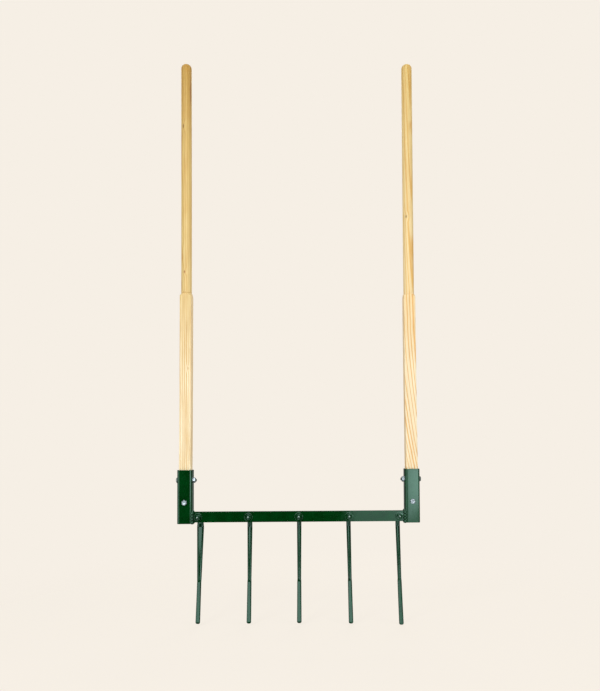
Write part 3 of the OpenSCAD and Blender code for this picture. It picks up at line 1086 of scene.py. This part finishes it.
        bolt_seats: dict[str, list[Seat]] = {"side": [], "front": []}
        nut_seats = []
        for side in Side:
            low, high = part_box(side.node("socket"))
            middle, half = (low + high) / 2, (high.x - low.x) / 2
            inward = Vector((-side.value, 0, 0))
            for part, aim, height in (("side", inward, self.bolts.side), ("front", back, self.bolts.front)):
                centre = Vector((middle.x, middle.y, height))
                bolt_seats[part].append((centre - aim * half, aim))
                nut_seats.append((centre + aim * half, aim))
        # The side bolts' heads take the darker zinc: painted shade.
        for part, finish in (("side", self.shaded_zinc), ("front", self.zinc)):
            piece = self.set_on(f"{part}_bolts", self.bolt(), bolt_seats[part], 3, finish)
            hand_over(piece, [side.node(f"{part}_bolt") for side in Side])
        piece = self.set_on("socket_nuts", self.nut(self.bolt_nut, self.bolt_radius), nut_seats, 7, self.zinc)
        hand_over(piece, [side.node(f"{part}_nut") for side in Side for part in bolt_seats])


@dataclass
class Studio:
    """A pale floor, soft light, and the tent that shapes the enamel's gloss."""

    cream: str = "#f6efe5"
    floor_radius: float = 1.6
    floor_z: float = -0.306
    floor_fade: float = 0.7
    floor_glow: float = 1.015
    floor_matt: float = 0.16
    sky: str = "#fffdf9"
    sky_level: float = 0.5
    sensor: float = 36.0
    lens: float = 36 * 692.95 / 691
    shift: tuple[float, float] = (-20.02 / 691, 79.22 / 691)
    eye: tuple[float, float, float] = (0.03874, -1.89268, 0.17)
    pitch: float = math.radians(1.981)
    yaw: float = math.radians(0.6124)
    roll: float = math.radians(-0.3278)
    lamp_aim: tuple[float, float, float] = (0, 0, 0.45)
    tent_radius: float = 2.6
    tent_rise: float = 0.27
    tent_white: str = "#f4fbfa"
    tent_dark: float = 0.03
    tent_roof: float = 2.0
    panel_turn: float = math.radians(15.8)
    panel_slope: float = -3.3

    def camera(self) -> None:
        """Places the camera where the photograph was taken from, with the lens off the middle as its crop left it."""
        data = bpy.data.cameras.new("eye")
        data.lens, data.sensor_width, data.sensor_fit = self.lens, self.sensor, "AUTO"
        data.shift_x, data.shift_y = self.shift
        camera = bpy.data.objects.new("eye", data)
        level = Matrix.Rotation(-self.yaw, 4, "Z") @ Matrix.Rotation(QUARTER + self.pitch, 4, "X")
        camera.matrix_world = Matrix.Translation(self.eye) @ level @ Matrix.Rotation(self.roll, 4, "Z")
        bpy.context.scene.collection.objects.link(camera)
        bpy.context.scene.camera = camera

    def stand(self, piece: Object, material: Material, surface: Node) -> None:
        """Gives a stage piece the surface of its material and stages it."""
        plug(material.node_tree.nodes["Material Output"], {"Surface": surface})
        dress(piece, material)

    def floor(self) -> None:
        """Lays a round pale floor that fades into the background and keeps a faint shadow."""
        work = bmesh.new()
        lowered = Matrix.Translation((0, 0, self.floor_z))
        bmesh.ops.create_circle(work, cap_ends=True, segments=96, radius=self.floor_radius, matrix=lowered)
        floor = from_bmesh("floor", work)
        material, put, shader = new_material("pale_paper")
        material.node_tree.nodes.remove(shader)
        reach = put("VectorMath:LENGTH", put("TexCoord").outputs["Object"])
        fade = put("MapRange", reach, self.floor_fade, self.floor_radius - 0.05, **SMOOTH)
        matt = put("BsdfDiffuse", linear(self.cream))
        glow = put("Emission", linear(self.cream), self.floor_glow)
        seen = put("MixShader", self.floor_matt, glow, matt)
        lit = put("MixShader", put("LightPath").outputs["Is Camera Ray"], matt, seen)
        floor.visible_glossy = False
        self.stand(floor, material, put("MixShader", fade, lit, put("BsdfTransparent")))

    def tent(self) -> None:
        """Hangs the round tent that only gloss sees.

        A shelf of light hangs above the knees' line in front, a panel stands low to the right, and the sides, the back
        and the roof have levels of their own.
        """
        work = bmesh.new()
        bmesh.ops.create_uvsphere(work, u_segments=64, v_segments=32, radius=self.tent_radius)
        tent = from_bmesh("gloss_tent", work)
        material, put, shader = new_material("gloss_tent")
        material.node_tree.nodes.remove(shader)
        part = put("SeparateXYZ", put("TexCoord").outputs["Object"]).outputs
        turn = put("Math:ARCTAN2", part["X"], put("Math:MULTIPLY", part["Y"], -1.0))
        height = put("Math:SUBTRACT", part["Z"], self.tent_rise)
        slope = put("Math:MULTIPLY_ADD", put("Math:MINIMUM", turn, self.panel_turn), self.panel_slope, height)
        sources = {"turn": turn, "height": height, "slope": slope, "x": part["X"]}

        # Steps of light: the level that each sets or is joined to, how, what it follows, the places where it starts and
        # ends, and its value at both. Turns are in degrees to the right of the front, heights in metres above the rise.
        steps = (
            ("shelf", "", "height", -0.06, -0.01, 0.0, 3.6),
            ("shelf", "ADD", "height", 0.09, 0.16, 0.0, 2.3),
            ("shelf", "MULTIPLY", "turn", -42, -30, 0.0, 1.0),
            ("shelf", "MULTIPLY", "turn", 10, 20, 1.0, 0.0),
            ("panel", "", "turn", 5.3, 6.9, 0.0, 2.1),
            ("panel", "ADD", "turn", 12.5, 15.3, 0.0, 3.4),
            ("panel", "MULTIPLY", "height", -0.6, -0.3, 0.8, 1.15),
            ("panel", "MULTIPLY", "height", -0.19, -0.11, 1.0, 0.0),
            ("panel", "MULTIPLY", "slope", -1.42, -1.34, 0.45, 1.0),
            ("beside_panel", "", "turn", -26, -19, 1.0, 0.0),
            ("beside_panel", "MAXIMUM", "turn", 40, 56, 0.0, 1.0),
            ("low_side", "", "turn", -17.19, 17.19, 3.2, 0.5),
            ("low_side", "MULTIPLY", "turn", -70, -50, 0.12, 1.0),
            ("high_side", "", "turn", -17.19, 17.19, 0.15, 0.07),
            ("side_rise", "", "height", -0.24, -0.13, 0.0, 1.0),
            ("low_back", "", "x", -0.1, 0.05, 0.13, 0.19),
            ("back_rise", "", "height", -0.3, -0.13, 0.0, 1.0),
            ("behind", "", "turn", -150, -95, 1.0, 0.0),
            ("behind", "MAXIMUM", "turn", 70, 110, 0.0, 1.0),
            ("roof_rise", "", "height", 1.1, 1.7, 0.0, 1.0),
        )
        levels: dict[str, Any] = {"high_back": self.tent_dark}
        for name, how, source, low, high, start, end in steps:
            unit = math.radians(1) if source == "turn" else 1.0
            step = put("MapRange", sources[source], low * unit, high * unit, start, end, **SMOOTH)
            levels[name] = put(f"Math:{how}", levels[name], step) if how else step
        # Each row is two levels mixed by a third.
        for name, one, other, share in (
            ("side", "low_side", "high_side", "side_rise"),
            ("back", "low_back", "high_back", "back_rise"),
            ("around", "side", "back", "behind"),
            ("ring", "panel", "around", "beside_panel"),
        ):
            levels[name] = put("Mix", {0: levels[share], 2: levels[one], 3: levels[other]})
        wall = put("Math:MAXIMUM", levels["ring"], levels["shelf"])
        whole = put("Mix", {0: levels["roof_rise"], 2: wall, 3: self.tent_roof})
        tent.visible_camera = tent.visible_diffuse = tent.visible_transmission = False
        tent.visible_shadow = tent.visible_volume_scatter = False
        self.stand(tent, material, put("Emission", linear(self.tent_white), whole))

    def lamps(self) -> None:
        """Stands three soft square lamps round the fork: one to the left, one to the right and one behind."""
        for name, place, size, watts in (
            ("key_left", (-1.3, -2.5, 1.7), 1.0, 37),
            ("fill_right", (2.0, -1.9, 1.2), 1.6, 23),
            ("back_fill", (0.4, 2.6, 1.6), 1.6, 34),
        ):
            data = bpy.data.lights.new(name, "AREA")
            data.shape, data.size, data.energy = "SQUARE", size, watts
            lamp = bpy.data.objects.new(name, data)
            lamp.location = place
            lamp.rotation_euler = (Vector(self.lamp_aim) - Vector(place)).to_track_quat("-Z", "Y").to_euler()
            bpy.context.scene.collection.objects.link(lamp)

    def world(self) -> None:
        """Makes the background cream for the eye and for gloss, and soft even light for the rest."""
        world = bpy.data.worlds.new("studio")
        bpy.context.scene.world = world
        world.use_nodes = True
        put = partial(add, world.node_tree)
        ray = put("LightPath").outputs
        direct = put("Math:MAXIMUM", ray["Is Camera Ray"], ray["Is Glossy Ray"])
        seen = put("Math:MAXIMUM", direct, ray["Is Transmission Ray"])
        soft = put("Background", linear(self.sky), self.sky_level)
        paper = put("Background", linear(self.cream), 1.0)
        plug(world.node_tree.nodes["World Output"], {"Surface": put("MixShader", seen, soft, paper)})

    def build(self) -> None:
        """Sets up the camera, the background, the floor, the tent and the lamps."""
        bpy.context.scene.view_settings.view_transform = "Standard"
        self.camera()
        self.world()
        self.floor()
        self.tent()
        self.lamps()


def handle_woods() -> dict[Side, OiledAsh]:
    """Returns each handle's own stick of ash, with the colours, grain and knots of that stick."""
    # Places up the stick for its colours: its foot, the square part, either side of the shoulder, the grip and the top.
    rise = (0.0, 0.3, 0.485, 0.495, 0.75, 1.0)
    left = OiledAsh(
        Side.LEFT,
        pale=tuple(zip(rise, ("#fef4d6", "#f9ebc6", "#e2ca8f", "#e7cc8c", "#e1c780", "#bf993e"))),
        tan=tuple(zip(rise, ("#e4bb70", "#dcae60", "#d4ab5c", "#d9b46a", "#d0ab5c", "#ab7c26"))),
        ring_spacing=5.6, pith=(-60, -34), slant=(0.004, 0.002), cloudy=0.6,
        marks=(
            Mark(-5.2, -13.5, 1063, 3.2, 9, "#7d551f", 0.95),
            Mark(-1.3, -14.4, 657, 3.6, 6, "#a9692a", 0.85),
            Mark(-7.6, -12.2, 698, 3.4, 18, "#c08236", 0.7),
            Mark(-10.2, -10, 985, 3.4, 34, "#c98f42", 0.6),
            Mark(13.2, -6, 1160, 4.6, 56, "#96602a", 0.9),
            Mark(9, -15.8, 391, 3.2, 6, "#cfa669", 0.7),
            # A thin dark line of painted shade, in the crease at the top of the shoulder where the cone meets the grip.
            Mark(0, -14.5, 600.5, 26, 1.8, "#b98b48", 0.6),
        ),
    )
    right = OiledAsh(
        Side.RIGHT,
        pale=tuple(zip(rise, ("#fbefd2", "#f9ecca", "#f3dba9", "#f8e1ac", "#ecd497", "#ddc177"))),
        tan=tuple(zip(rise, ("#e8b25f", "#e7b05a", "#e2a950", "#e9b964", "#dcb05f", "#ca9d44"))),
        ring_spacing=7.4, pith=(64, -46), slant=(0.04, -0.003), bow=(0.23, 0.5),
        marks=(
            Mark(-8.6, -11.8, 809, 4.2, 6.5, "#86632c", 0.8),
            Mark(7, -12.6, 1066, 4, 16, "#d0933a", 0.7),
            Mark(9, -11.4, 734, 4.4, 20, "#d8983a", 0.55),
        ),
    )
    return {Side.LEFT: left, Side.RIGHT: right}


def main() -> None:
    """Loads the frame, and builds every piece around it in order."""
    logging.basicConfig(level=logging.INFO, format="%(message)s")
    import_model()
    Studio().build()
    frame_green = GreenEnamel("green_enamel_frame", ("#012f0a", "#013a11"), (0.05, 0.1)).build()
    # The enamel is rubbed off the studs' tips.
    tip = (-17.08 * MM, -17.28 * MM)
    tine_green = GreenEnamel("green_enamel_tines", ("#012a0d", "#023818"), (0.05, 0.11), bare=tip).build()
    zinc = ZincPlate("zinc_plate_passivated", ("#989fa5", "#737c85")).build()
    # A darker copy of the zinc for the side bolts' heads: painted shade.
    shaded_zinc = ZincPlate("zinc_plate_dulled", ("#5d6561", "#434b48")).build()
    tine_places = []
    for number in range(1, 6):
        low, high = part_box(f"tine_nut_{number}")
        tine_places.append((low.x + high.x) / 2)
    woods = handle_woods()
    # Each handle's lean in degrees, its bow, and how far above the drawing its shoulder was turned.
    habits = {Side.LEFT: (0.063, 1.5 * MM, 4 * MM), Side.RIGHT: (-0.115, -1.4 * MM, 0.0)}
    for side, (lean, bow, higher) in habits.items():
        Handle(side, woods[side].build(), math.radians(lean), bow, higher).build()
        Socket(side, frame_green).build()
    FootBar(frame_green, tine_places).build()
    for side in Side:
        WeldBead(side, frame_green).build()
    # The first rod was left thicker below its bend, the last two run a little long, and each is turned as its nut was
    # tightened: swell, turn in degrees, and reach below the bar.
    rods = (
        (3.4 * MM, 0.0, 272 * MM),
        (0.8 * MM, 0.15, 272 * MM),
        (0.0, 0.0, 272 * MM),
        (0.0, 0.6, 274 * MM),
        (0.0, 0.45, 278 * MM),
    )
    for number, (x, (swell, turn, reach)) in enumerate(zip(tine_places, rods), 1):
        Tine(number, x, tine_green, swell, math.radians(turn), reach).build()
    Fasteners(frame_green, zinc, shaded_zinc, tine_places).build()


if __name__ == "__main__":
    main()
